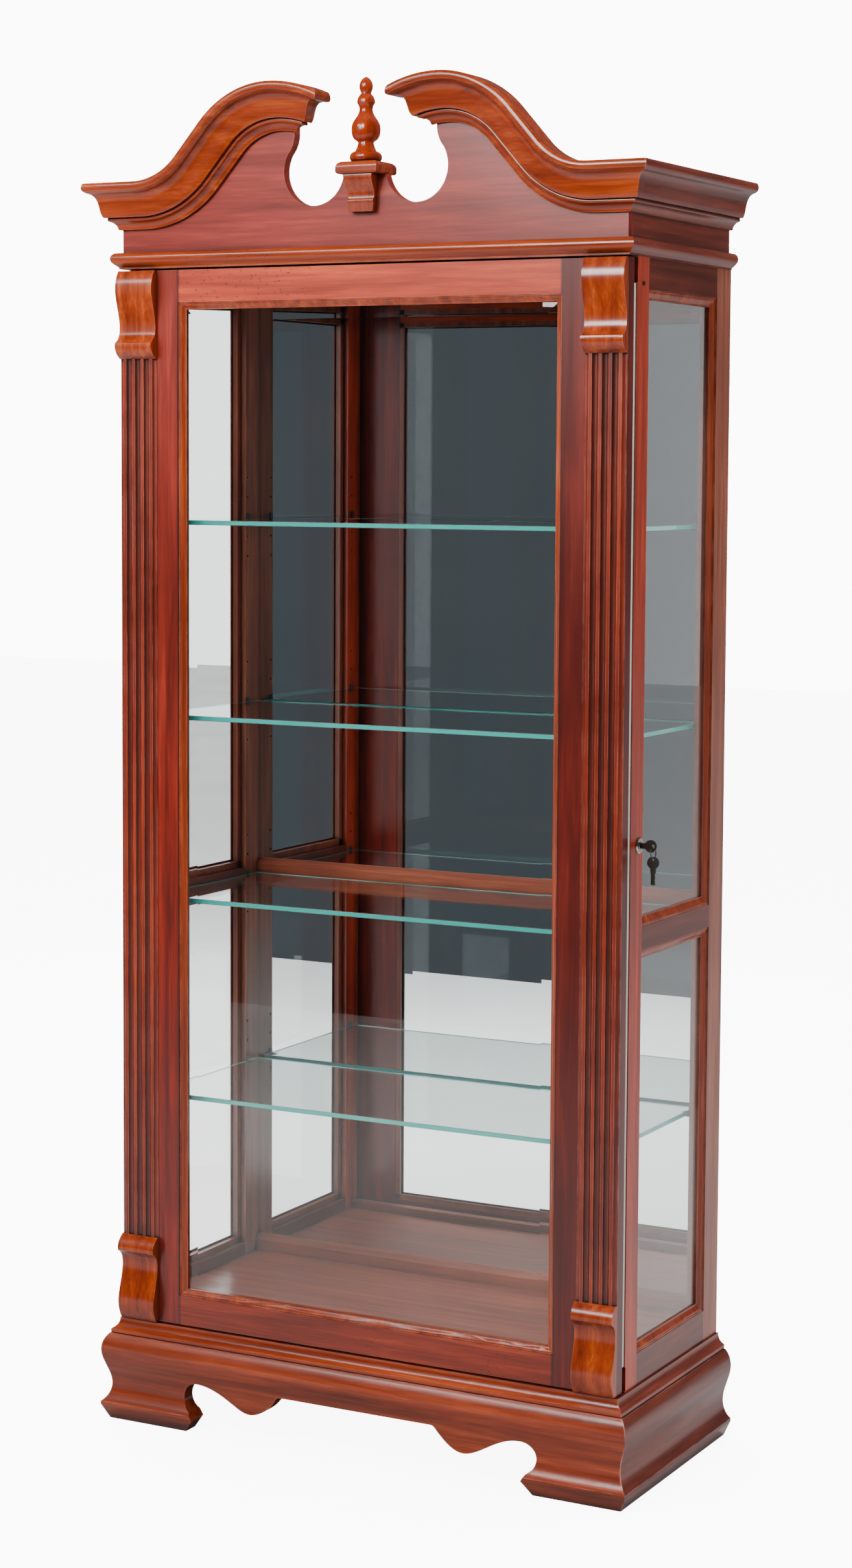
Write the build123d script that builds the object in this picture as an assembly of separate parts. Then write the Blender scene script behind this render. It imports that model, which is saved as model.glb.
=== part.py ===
from build123d import *
import os
from math import asin, atan2, cos, degrees, hypot, radians, sin, sqrt

# Curio cabinet with a bonnet top and a two-way sliding glass door, in millimetres.
# X runs across the front, Y to the back, Z up. Depths are measured here from the
# front plane of the carcass, and save() moves every piece so that the middle of the
# whole object's outline stands on the origin.

# Overall sizes
CARCASS_DEPTH = 379.0
OUTER_X = 466.5  # half the width over the side frames
INNER_X = 434.0  # half the width between the side frames
DOOR_X = 465.1  # half the width of the door
FRIEZE_X = 462.5  # half the width over the frieze
BASE_FRONT = -30.0
FRIEZE_FRONT = -26.0
MITRE_SUM = OUTER_X + BASE_FRONT  # x + y on every corner mitre, base and cornice alike
CROWN_REACH = 50.7  # how far the crown moulding stands out
SHIFT_Y = (CROWN_REACH - FRIEZE_FRONT - CARCASS_DEPTH) / 2

# Heights
SKIRT_TOP = 150.0
BASE_TOP = 176.0
FLOOR_TOP = 207.0
FLOOR_THICKNESS = 17.0
POST_TOP = 1966.0
CORNICE_TOP = 1992.7
CROWN_BOTTOM = 2031.0
CROWN_HEIGHT = 75.3
FRIEZE_TOP = 2105.0

# Boards
BOARD = 18.0
SKIRT_BACK = -12.0  # reach of the skirts' back face; a negative reach lies inside
MOULDING_BACK = -10.0
REAR_RAIL_BOTTOM = 60.0
CORNER_LEG = 60.0  # the glue blocks' sides along the skirts
CORNER_BOTTOM = 95.0
FRIEZE_RAIL_TOP = 2070.0

# Side frames
POST_WIDTH = 45.5
REAR_STILE_FRONT = 320.5
SIDE_RAILS = ((BASE_TOP, 228.0), (880.0, 917.5), (1917.0, POST_TOP))
SIDE_BEAD_WIDTH = 15.0
SIDE_GLASS_OUTER = OUTER_X - 10.0
SIDE_BEAD = 9.0
SIDE_GLASS = 3.0
RETAINER_WIDTH = 12.0
RETAINER_DEPTH = 9.5
SCREW_HEAD = (3.6, 1.2)  # radius and height
SCREW_PLACE = (25.0, 1925.0)  # depth and height, on the upper carrier rail

# Back
MIRROR_FRONT = 367.0
MIRROR = 4.0
MIRROR_GAP = 2.0  # between the two mirrors, and at their outer ends
BACK_PANEL = 6.0
BACK_REBATE_X = 444.0
BACK_RAIL = 10.0
BACK_RAILS = ((FLOOR_TOP, 238.0), (904.0, 932.0), (1925.0, POST_TOP))

# Shelves and their pins
SHELF_TOPS = (566.0, 906.0, 1218.0, 1548.0)
SHELF_GLASS = 8.0
SHELF_ARRIS = 0.8  # chamfer on the polished edges
SHELF_X = 431.0  # half the length of a shelf
SHELF_FRONT = 18.0
SHELF_REAR = 355.0
PIN_ROWS = (30.0, 327.0)  # depth of the front and rear rows of pin holes
PIN_RADIUS = 2.5
PIN_RISE = 9.0  # from the ledge up to the stem
PIN_WIDTH = 10.0
PIN_PLATE = (1.5, 16.0)  # thickness and height
PIN_LEDGE = (12.0, 2.0)  # reach under the glass and thickness
PIN_PITCH = 35.0
PIN_STEPS = (-2, -1, 0, 1, 2)  # each shelf may sit two holes up or down
PIN_HOLE_DEPTH = 10.0

# Sliding door
DOOR_FRONT = -29.0
DOOR_BACK = -7.7
DOOR_BOTTOM = 178.4
DOOR_TOP = 1962.5
STILE_X = 352.5  # half the distance between the stiles
DOOR_OPENING = (228.1, 1909.2)
DOOR_BEAD_WIDTH = 11.6
DOOR_GLASS_FRONT = -17.5
DOOR_GLASS = 5.0
BEVEL_WIDTH = 30.0  # with the part under the bead
BEVEL_DEPTH = 2.2
DOOR_BEAD = 10.0
DOOR_RETAINER_WIDTH = 9.0
PILASTER_WIDTH = 71.5
PILASTER = 4.4  # thickness
CORBEL_HEIGHT = 145.8
PILASTER_ENDS = (DOOR_BOTTOM + CORBEL_HEIGHT, DOOR_TOP - CORBEL_HEIGHT)
FLUTE_PITCH = 17.0
FLUTE_WIDTH = 11.0
FLUTE_DEPTH = 3.9
FLUTES = (-2, -1, 0, 1, 2)  # the outermost two are cut by the strip's edges

# Ball-bearing slides, upper and lower, and the notches in the posts that they pass
SLIDE_HEIGHTS = (198.0, 1945.0)
NOTCH_HEIGHT = 38.0
NOTCH_DEPTH = 3.0
SLIDE_HALF_LENGTH = 430.0
CARRIER_FRONT = 5.3
CARRIER = 18.7  # thickness
CARRIER_MARGIN = 4.0  # cover past the notch's edge
DUST_MARGIN = 2.0  # the dust strips start this far past it
STEEL = 1.25
CABINET_MEMBER = (18.0, -5.0, CARRIER_FRONT)  # half height, front and back
MIDDLE_MEMBER = (14.5, -5.5, 2.4)
DOOR_MEMBER = (11.0, DOOR_BACK, 0.5)
DUST_STRIP_X = (452.0, 464.5)
DUST_STRIP_FRONT = -7.2

# Lock in the right-hand post, on a horizontal axis
LOCK_Y = 31.0
LOCK_Z = 1049.0
BARREL_RADIUS = 9.5
ROSE_RADIUS = 13.0
ROSE = 3.0
ROSE_CHAMFER = 1.4
PLUG_RADIUS = 6.0
PLUG_CLEARANCE = 0.05
PLUG_INNER = 427.0
PLUG_OUTER = 470.5
CAM = 3.0  # thickness
CAM_LENGTH = 42.0
CAM_WIDTH = 11.0
MORTISE_WIDTH = 10.0
MORTISE_BELOW = 9.5  # under the lock's axis
MORTISE_ABOVE = 27.0  # over it, because the cam swings in from above
MORTISE_DEPTH_CLEARANCE = 3.0
KEY = 2.2  # thickness
KEY_SLOT_INNER = 446.0
KEY_SLOT_SPARE = (0.3, 0.4)  # gap beside the blade, and over and under it
BLADE_HEIGHT = 7.0
KEY_COLLAR = (6.0, 4.6)  # length past the bow and half height
KEY_CUTS = (1.6, 2.4, 1.2, 2.0)
KEY_CUT_START = 4.0
KEY_CUT_PITCH = 3.6
KEY_HOLE_RADIUS = 2.6
SPARE_HOLE_RADIUS = 2.3
SPARE_REACH = 35.0
SPARE_DROP = 6.0  # from the ring to the middle of the bow
BOW_RADIUS = 10.0
BOW_X = 487.0
RING_X = 491.5
RING_RADIUS = 10.0
RING_WIRE = 0.8

# Swan-neck pediment
LOW_CENTRE = (413.0, 2216.3)  # centre of the lower, hollow sweep
HIGH_CENTRE = (153.4, 2084.1)  # centre of the upper, round sweep
HIGH_RADIUS = 172.0  # to the top edge
PEAK_RADIUS = 215.0  # flatter sweep from the peak to the inner end
PEAK_TURN = 28.0  # degrees, past the mitre at the inner end
RETURN_X = 130.0  # where the inner return meets the board
RETURN_LEAN = 1.32  # how far the mitre runs inward for each millimetre of reach
BOARD_END_Z = 2179.0  # where the board's inner end starts to curve down
BOARD_END_BEND = (133.0, 2159.0)
BITE_CENTRE = (94.0, 2115.0)
BITE_RADIUS = 56.0
BITE_CUSP = 30.0  # degrees above level where the bite turns up to the board's inner end
NECK_LIP = 8.0  # the board stops this far under the neck's top edge

# Plinth and finial at the middle of the pediment
CAP_HALF = 37.5
CAP_FRONT = -56.0
CAP_REAR = 12.0
CAP_TOP = 2125.0
CAP_ROUNDS = (10.0, 4.0)  # radius of the upper and lower edges
BRACKET_X = 26.0  # half the width at the top
BRACKET_TAPER = 0.07  # inward, for each millimetre down
BRACKET_BOTTOM = 2046.0
FINIAL_Y = -22.0
SPIGOT_RADIUS = 6.0
SPIGOT_LENGTH = 15.0

FIT = 0.3  # gap left round a piece that sits in another
OVER = 1.0  # how far a cutting tool runs past a face
FAR = 1400.0  # longer than any piece, for cutting blocks


def save(name, *solids):
    """Write one node, made of one or more separate solids."""
    placed = [solid.moved(Location((0, SHIFT_Y, 0))) for solid in solids]
    export_step(placed[0] if len(placed) == 1 else Compound(placed), f"parts/{name}.step")


def block(x0, x1, y0, y1, z0, z1):
    """A board between two opposite corners."""
    return Pos((x0 + x1) / 2, (y0 + y1) / 2, (z0 + z1) / 2) * Box(x1 - x0, y1 - y0, z1 - z0)


def flipped(solid):
    """The same piece for the left-hand side."""
    return solid.mirror(Plane.YZ)


def rod(x0, x1, y, z, radius):
    """A round bar along X."""
    return Pos((x0 + x1) / 2, y, z) * Rot(0, 90, 0) * Cylinder(radius, x1 - x0)


def beyond(origin, normal):
    """A large block on the far side of a plane, for trimming."""
    return Plane(origin=origin, z_dir=normal) * Pos(0, 0, FAR) * Box(4 * FAR, 4 * FAR, 2 * FAR)


def solid_of(shape):
    """The one solid in a result that may come back wrapped."""
    return shape.solids()[0]


def extruded_x(edges, x0, x1, front):
    """An outline in (reach, height) run along X; reach stands out to the front."""
    plane = Plane(origin=(x0, front, 0), x_dir=(0, -1, 0), z_dir=(-1, 0, 0))
    return solid_of(extrude(plane * make_face(edges), amount=x0 - x1))


def extruded_y(edges, y0, y1, side):
    """An outline in (reach, height) run along Y; reach stands out to the right."""
    plane = Plane(origin=(side, y0, 0), x_dir=(1, 0, 0), z_dir=(0, -1, 0))
    return solid_of(extrude(plane * make_face(edges), amount=y0 - y1))


def mitred_front(edges, side, front):
    """A moulding across the front, cut on the corner mitre at both ends."""
    run = extruded_x(edges, -side - 2 * CROWN_REACH, side + 2 * CROWN_REACH, front)
    for sign in (-1, 1):
        run -= beyond((sign * MITRE_SUM, 0, 0), (sign, 1, 0))
    return solid_of(run)


def mitred_side(edges, side, front):
    """The right-hand return of a moulding, cut on the same mitre at its front end."""
    run = extruded_y(edges, front - 2 * CROWN_REACH, CARCASS_DEPTH, side)
    return solid_of(run - beyond((MITRE_SUM, 0, 0), (-1, -1, 0)))


def profile_skirt():
    """Ogee bracket-foot profile: a chamfered foot, a hollow and a round shoulder."""
    edge, top = (28.6, 31), (16.8, SKIRT_TOP)
    return Polyline(top, (SKIRT_BACK, SKIRT_TOP), (SKIRT_BACK, 0), (16.5, 0), (28.6, 26), edge) + Spline(
        edge, (17, 46), (14, 62), (18, 84), (25, 105), (27.8, 123), (23, 142), top
    )


def profile_base_moulding():
    """Moulding over the skirt: a short flat and a hollow that falls back to the carcass."""
    back, low, top = MOULDING_BACK, SKIRT_TOP, BASE_TOP
    return Polyline(
        (3.8, top), (back, top), (back, low), (14.5, low), (15.2, low + 2), (15.2, low + 7), (11, low + 10)
    ) + Spline((11, low + 10), (6.5, low + 15), (4.4, low + 20), (3.8, top))


def profile_cornice():
    """Bead under the frieze: a small hollow and a half round."""
    back, low, top = MOULDING_BACK, POST_TOP, CORNICE_TOP
    return (
        Polyline((10, top), (back, top), (back, low), (5.3, low), (5.3, low + 3))
        + Spline((5.3, low + 3), (8, low + 5), (12.4, low + 9))
        + ThreePointArc((12.4, low + 9), (16.3, low + 17), (10, top))
    )


def profile_crown():
    """Crown moulding seen end on, with its height measured from its lower edge."""
    top = CROWN_HEIGHT
    return (
        ThreePointArc((49, 62), (CROWN_REACH, 69), (48, top))
        + Polyline((48, top), (0, top), (0, 0), (5.5, 0))
        + Spline((5.5, 0), (8, 7), (15, 13))
        + ThreePointArc((15, 13), (18.6, 15), (17.7, 19))
        + Line((17.7, 19), (24, 19.5))
        + Spline((24, 19.5), (27, 27), (30, 42), (34, 52), (44.5, 59))
        + Line((44.5, 59), (49, 62))
    )


def profile_corbel():
    """Scrolled block: a round shoulder, a waist and a lip, with its height from the lower end."""
    top = CORBEL_HEIGHT
    lip = (19.5, 26)
    return (
        Polyline((5, 0), (0, 0), (0, top), (9, top))
        + Spline((9, top), (15, 134), (18.5, 118), (16, 99), (10, 79), (5, 50), (7, 39), (15, 29))
        + Line((15, 29), lip)
        + Spline(lip, (20, 20), (16, 10), (9, 3), (5, 0))
    )


def profile_back_rail(low, high):
    """A flat face with an ogee that falls back to the mirror along its upper edge."""
    return (
        Polyline((0, high), (0, low), (BACK_RAIL, low), (BACK_RAIL, high - 11))
        + Spline((BACK_RAIL, high - 11), (7.5, high - 7), (3.5, high - 3.5), (1.5, high))
        + Line((1.5, high), (0, high))
    )


def profile_bracket():
    """Bracket under the plinth cap: a long hollow, a lip and a plain foot."""
    low, top = BRACKET_BOTTOM, FRIEZE_TOP
    return (
        Polyline((13, low), (0, low), (0, top), (24.6, top))
        + Spline((24.6, top), (22, top - 14), (14, top - 25), (12, low + 21))
        + ThreePointArc((12, low + 21), (15, low + 17.5), (13, low + 13))
        + Line((13, low + 13), (13, low))
    )


def profile_finial():
    """Turned outline over a spigot: radius, and height above the cap."""
    spigot = Polyline(
        (0, 0), (0, -SPIGOT_LENGTH), (SPIGOT_RADIUS, -SPIGOT_LENGTH), (SPIGOT_RADIUS, 0), (22, 0)
    )
    ring = ThreePointArc((22, 0), (26, 9), (19.5, 16)) + Line((19.5, 16), (17.2, 17.5))
    stem = Spline((17.2, 17.5), (14.2, 24), (12.6, 31)) + Line((12.6, 31), (14.5, 33))
    bulb = Spline((14.5, 33), (20, 37.5), (23.4, 49), (20.8, 63), (14.8, 72), (10.8, 83))
    urn = Spline((10.8, 83), (11.3, 87), (14.4, 93)) + ThreePointArc((14.4, 93), (13.2, 101), (8.3, 107.5))
    tip = Line((8.3, 107.5), (8.3, 110)) + ThreePointArc((8.3, 110), (10.9, 119), (7.6, 129.5))
    point = Spline((7.6, 129.5), (3, 133.6), (0, 135)) + Line((0, 135), (0, 0))
    return spigot + ring + stem + bulb + urn + tip + point


def ring_of_strips(edges, half_width, low, high, place):
    """Four mitred strips round an opening; reach runs into it, height off the glass."""
    middle = (low + high) / 2
    half_height = (high - low) / 2
    strips = []
    for quarter in range(4):
        span = half_height if quarter % 2 else half_width
        reach = half_width if quarter % 2 else half_height
        plane = Plane(origin=(-span, reach, 0), x_dir=(0, -1, 0), z_dir=(-1, 0, 0))
        strip = extrude(plane * make_face(edges), amount=-2 * span)
        for sign in (-1, 1):
            strip -= beyond((sign * span, reach, 0), (sign, 1, 0))
        strips.append(solid_of(place * Pos(0, middle, 0) * Rot(0, 0, 90 * quarter) * strip))
    return strips


def bead_edges(width, depth):
    """Glazing bead: a flat, a quirk and an ogee falling towards the glass."""
    return (
        Polyline((width, depth * 0.26), (width, 0), (0, 0), (0, depth), (width * 0.16, depth))
        + Line((width * 0.16, depth), (width * 0.2, depth * 0.84))
        + Spline(
            (width * 0.2, depth * 0.84), (width * 0.5, depth * 0.7), (width * 0.75, depth * 0.36),
            (width, depth * 0.26),
        )
    )


def strip_edges(width, depth):
    """A plain rectangular strip."""
    return Polyline((0, 0), (width, 0), (width, depth), (0, depth), (0, 0))


def skirt_opening():
    """Right half of the opening between the front feet, cut right through, with its two scrolls."""
    scroll = ((305, 85.5), (280, 81), (252, 68), (228, 55), (204, 48), (178, 55), (160, 70), (149, 85))
    half = (
        Polyline((0, 87), (0, -10), (328, -10), (328, 0), (311, 24), (318, 35))
        + ThreePointArc((318, 35), (333, 62), (305, 85.5))
        + Spline(*scroll)
        + Polyline((149, 85), (145, 87), (0, 87))
    )
    return solid_of(extrude(Plane.XZ * make_face(half), amount=FAR / 2, both=True))


def build_base():
    skirt = mitred_front(profile_skirt(), OUTER_X, BASE_FRONT)
    cutter = skirt_opening()
    save("base_front_skirt", solid_of(skirt - cutter - flipped(cutter)))
    side = mitred_side(profile_skirt(), OUTER_X, BASE_FRONT)
    save("base_side_skirts", side, flipped(side))
    inside = OUTER_X + SKIRT_BACK
    rear = CARCASS_DEPTH
    save("base_rear_rail", block(-inside, inside, rear - BOARD, rear, REAR_RAIL_BOTTOM, SKIRT_TOP))
    save("base_corner_blocks", *base_corner_blocks(inside))
    save("base_front_moulding", mitred_front(profile_base_moulding(), OUTER_X, BASE_FRONT))
    side = mitred_side(profile_base_moulding(), OUTER_X, BASE_FRONT)
    save("base_side_mouldings", side, flipped(side))
    half_deck = OUTER_X + MOULDING_BACK
    front = BASE_FRONT - MOULDING_BACK
    save("base_deck", block(-half_deck, half_deck, front, rear, SKIRT_TOP, BASE_TOP))


def base_corner_blocks(inside):
    """Three-cornered glue blocks behind the feet."""
    leg = CORNER_LEG
    height = SKIRT_TOP - CORNER_BOTTOM
    front = BASE_FRONT - SKIRT_BACK
    rear = CARCASS_DEPTH - BOARD
    corners = ((inside, front, 1), (inside, rear, -1))
    blocks = []
    for x, y, turn in corners:
        outline = Polyline((x, y), (x - leg, y), (x, y + turn * leg), (x, y))
        face = Pos(0, 0, CORNER_BOTTOM) * make_face(outline)
        piece = solid_of(extrude(face, amount=height, dir=(0, 0, 1)))
        blocks += [piece, flipped(piece)]
    return blocks


def pin_holes(x_out, y):
    """Round holes of one row, bored into a post from inside the cabinet."""
    holes = []
    for top in SHELF_TOPS:
        for step in PIN_STEPS:
            z = top - SHELF_GLASS - FIT + PIN_RISE + step * PIN_PITCH
            holes.append(rod(x_out - OVER, x_out + PIN_HOLE_DEPTH, y, z, PIN_RADIUS))
    return holes


def build_side_frames():
    post = block(INNER_X, OUTER_X, 0, POST_WIDTH, BASE_TOP, POST_TOP)
    for z in SLIDE_HEIGHTS:
        half = NOTCH_HEIGHT / 2
        post -= block(INNER_X - OVER, OUTER_X + OVER, -OVER, NOTCH_DEPTH, z - half, z + half)
    post -= pin_holes(INNER_X, PIN_ROWS[0])
    bored = post - rod(INNER_X - OVER, OUTER_X + OVER, LOCK_Y, LOCK_Z, BARREL_RADIUS)
    save("front_post_left", flipped(solid_of(post)))
    save("front_post_right", solid_of(bored))

    stile = block(INNER_X, OUTER_X, REAR_STILE_FRONT, CARCASS_DEPTH, BASE_TOP, POST_TOP)
    stile -= block(INNER_X - OVER, BACK_REBATE_X, MIRROR_FRONT, CARCASS_DEPTH + OVER, 0, POST_TOP + OVER)
    stile -= pin_holes(INNER_X, PIN_ROWS[1])
    save("rear_stiles", solid_of(stile), flipped(solid_of(stile)))

    rails = [block(INNER_X, OUTER_X, POST_WIDTH, REAR_STILE_FRONT, *span) for span in SIDE_RAILS]
    save("side_frame_rails", *rails, *[flipped(rail) for rail in rails])
    build_side_panes()
    radius, height = SCREW_HEAD
    head = rod(OUTER_X, OUTER_X + height, *SCREW_PLACE, radius)
    save("carrier_screws", head, flipped(head))


def build_side_panes():
    """Glass, outer beads and inner retaining strips of the four side panes."""
    panes, beads, retainers = [], [], []
    middle = (POST_WIDTH + REAR_STILE_FRONT) / 2
    half = (REAR_STILE_FRONT - POST_WIDTH) / 2
    for (_, low), (high, _) in zip(SIDE_RAILS, SIDE_RAILS[1:]):
        inner = SIDE_GLASS_OUTER - SIDE_GLASS
        front, rear = POST_WIDTH + FIT, REAR_STILE_FRONT - FIT
        panes.append(block(inner, SIDE_GLASS_OUTER, front, rear, low + FIT, high - FIT))
        outside = Plane(origin=(SIDE_GLASS_OUTER, middle, 0), x_dir=(0, 1, 0), z_dir=(1, 0, 0))
        bead = bead_edges(SIDE_BEAD_WIDTH, SIDE_BEAD)
        beads += ring_of_strips(bead, half, low, high, outside)
        inside = Plane(origin=(inner - RETAINER_DEPTH, middle, 0), x_dir=(0, 1, 0), z_dir=(1, 0, 0))
        strip = strip_edges(RETAINER_WIDTH, RETAINER_DEPTH)
        retainers += ring_of_strips(strip, half, low, high, inside)
    save("side_glass_panes", *panes, *[flipped(pane) for pane in panes])
    save("side_glazing_beads", *beads, *[flipped(bead) for bead in beads])
    save("side_glass_retainers", *retainers, *[flipped(strip) for strip in retainers])


def build_back_and_floor():
    half_mirror = BACK_REBATE_X - FIT
    mid_low, mid_high = BACK_RAILS[1]
    split = (mid_low + mid_high) / 2
    rear = MIRROR_FRONT + MIRROR
    half_gap = MIRROR_GAP / 2
    spans = {
        "mirror_upper": (split + half_gap, POST_TOP - MIRROR_GAP),
        "mirror_lower": (BASE_TOP + MIRROR_GAP, split - half_gap),
    }
    for name, span in spans.items():
        save(name, block(-half_mirror, half_mirror, MIRROR_FRONT, rear, *span))
    save("back_panel", block(-half_mirror, half_mirror, rear, rear + BACK_PANEL, BASE_TOP, POST_TOP))
    inside = INNER_X - FIT
    rails = [extruded_x(profile_back_rail(*span), -inside, inside, MIRROR_FRONT) for span in BACK_RAILS]
    save("back_rails", *rails)
    floor_front = CARRIER_FRONT + CARRIER
    low = FLOOR_TOP - FLOOR_THICKNESS
    save("cabinet_floor", block(-inside, inside, floor_front, MIRROR_FRONT, low, FLOOR_TOP))
    cover = NOTCH_HEIGHT / 2 + CARRIER_MARGIN
    lower, upper = SLIDE_HEIGHTS
    spans = ((BASE_TOP, lower + cover), (upper - cover, POST_TOP))
    carriers = [block(-inside, inside, CARRIER_FRONT, floor_front, *span) for span in spans]
    save("slide_carrier_rails", *carriers)


def shelf_pin(ledge_top, y):
    """Right-hand pin: a stem in the post, a plate against it and a ledge under the glass."""
    thickness, height = PIN_PLATE
    reach, ledge = PIN_LEDGE
    half = PIN_WIDTH / 2
    plate = block(INNER_X - thickness, INNER_X, y - half, y + half, ledge_top - ledge, ledge_top + height)
    plate = fillet(plate.edges().filter_by(Axis.X).group_by(Axis.Z)[-1], 0.96 * half)
    shelf_rest = block(INNER_X - reach, INNER_X, y - half, y + half, ledge_top - ledge, ledge_top)
    stem = rod(INNER_X - thickness, INNER_X + PIN_HOLE_DEPTH - OVER, y, ledge_top + PIN_RISE, PIN_RADIUS)
    return solid_of(plate + shelf_rest + stem)


def build_shelves():
    pins = []
    for number, top in enumerate(SHELF_TOPS, start=1):
        low = top - SHELF_GLASS
        shelf = block(-SHELF_X, SHELF_X, SHELF_FRONT, SHELF_REAR, low, top)
        save(f"glass_shelf_{number}", solid_of(chamfer(shelf.edges(), SHELF_ARRIS)))
        right = [shelf_pin(low - FIT, y) for y in PIN_ROWS]
        pins += right + [flipped(pin) for pin in right]
    save("shelf_pins", *pins)


def build_door():
    stile = block(STILE_X, DOOR_X, DOOR_FRONT, DOOR_BACK, DOOR_BOTTOM, DOOR_TOP)
    cam_x = PLUG_INNER - CAM / 2
    half = MORTISE_WIDTH / 2
    tip = LOCK_Y - CAM_LENGTH - MORTISE_DEPTH_CLEARANCE
    foot, head = LOCK_Z - MORTISE_BELOW, LOCK_Z + MORTISE_ABOVE
    mortise = block(cam_x - half, cam_x + half, tip, DOOR_BACK + OVER, foot, head)
    save("door_stile_left", flipped(stile))
    save("door_stile_right", solid_of(stile - mortise))
    low, high = DOOR_OPENING
    save("door_bottom_rail", block(-STILE_X, STILE_X, DOOR_FRONT, DOOR_BACK, DOOR_BOTTOM, low))
    save("door_top_rail", block(-STILE_X, STILE_X, DOOR_FRONT, DOOR_BACK, high, DOOR_TOP))

    rear = DOOR_GLASS_FRONT + DOOR_GLASS
    half = STILE_X - FIT
    glass = block(-half, half, DOOR_GLASS_FRONT, rear, low + FIT, high - FIT)
    face = glass.faces().sort_by(Axis.Y)[0]
    save("door_glass", solid_of(chamfer(face.edges(), BEVEL_WIDTH, BEVEL_DEPTH, reference=face)))
    front = Plane(origin=(0, DOOR_GLASS_FRONT, 0), x_dir=(1, 0, 0), z_dir=(0, -1, 0))
    bead = bead_edges(DOOR_BEAD_WIDTH, DOOR_BEAD)
    save("door_glazing_bead", *ring_of_strips(bead, STILE_X, low, high, front))
    back = Plane(origin=(0, DOOR_BACK, 0), x_dir=(1, 0, 0), z_dir=(0, -1, 0))
    strip = strip_edges(DOOR_RETAINER_WIDTH, DOOR_BACK - rear)
    save("door_glass_retainer", *ring_of_strips(strip, STILE_X, low, high, back))

    build_pilasters()
    corbel = extruded_x(profile_corbel(), DOOR_X - PILASTER_WIDTH, DOOR_X, DOOR_FRONT)
    upper = corbel.moved(Location((0, 0, PILASTER_ENDS[1])))
    lower = corbel.mirror(Plane.XY).moved(Location((0, 0, PILASTER_ENDS[0])))
    save("door_corbels", upper, lower, flipped(upper), flipped(lower))


def build_pilasters():
    """Fluted strips with whole flutes between four reeds and a half flute at each edge."""
    low, high = PILASTER_ENDS
    middle = DOOR_X - PILASTER_WIDTH / 2
    front = DOOR_FRONT - PILASTER
    strip = block(DOOR_X - PILASTER_WIDTH, DOOR_X, front, DOOR_FRONT, low, high)
    radius = (FLUTE_WIDTH**2 / 4 + FLUTE_DEPTH**2) / (2 * FLUTE_DEPTH)
    centre_y = front + FLUTE_DEPTH - radius
    for number in FLUTES:
        x = middle + number * FLUTE_PITCH
        strip -= Pos(x, centre_y, (low + high) / 2) * Cylinder(radius, high - low + 2 * OVER)
    save("door_pilasters", solid_of(strip), flipped(solid_of(strip)))


def channel(half_height, front, back, open_front):
    """A thin steel channel along X, lying on its side."""
    outer = block(-SLIDE_HALF_LENGTH, SLIDE_HALF_LENGTH, front, back, -half_height, half_height)
    length = SLIDE_HALF_LENGTH + OVER
    inner_half = half_height - STEEL
    if open_front:
        inner = block(-length, length, front - OVER, back - STEEL, -inner_half, inner_half)
    else:
        inner = block(-length, length, front + STEEL, back + OVER, -inner_half, inner_half)
    return solid_of(outer - inner)


def build_slides():
    members = {
        "slide_cabinet_members": channel(*CABINET_MEMBER, open_front=True),
        "slide_middle_members": channel(*MIDDLE_MEMBER, open_front=True),
        "slide_door_members": channel(*DOOR_MEMBER, open_front=False),
    }
    for name, member in members.items():
        save(name, *[member.moved(Location((0, 0, z))) for z in SLIDE_HEIGHTS])
    lower, upper = SLIDE_HEIGHTS
    clear = NOTCH_HEIGHT / 2 + DUST_MARGIN
    strip = block(*DUST_STRIP_X, DUST_STRIP_FRONT, 0, lower + clear, upper - clear)
    save("dust_strips", strip, flipped(strip))


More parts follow.
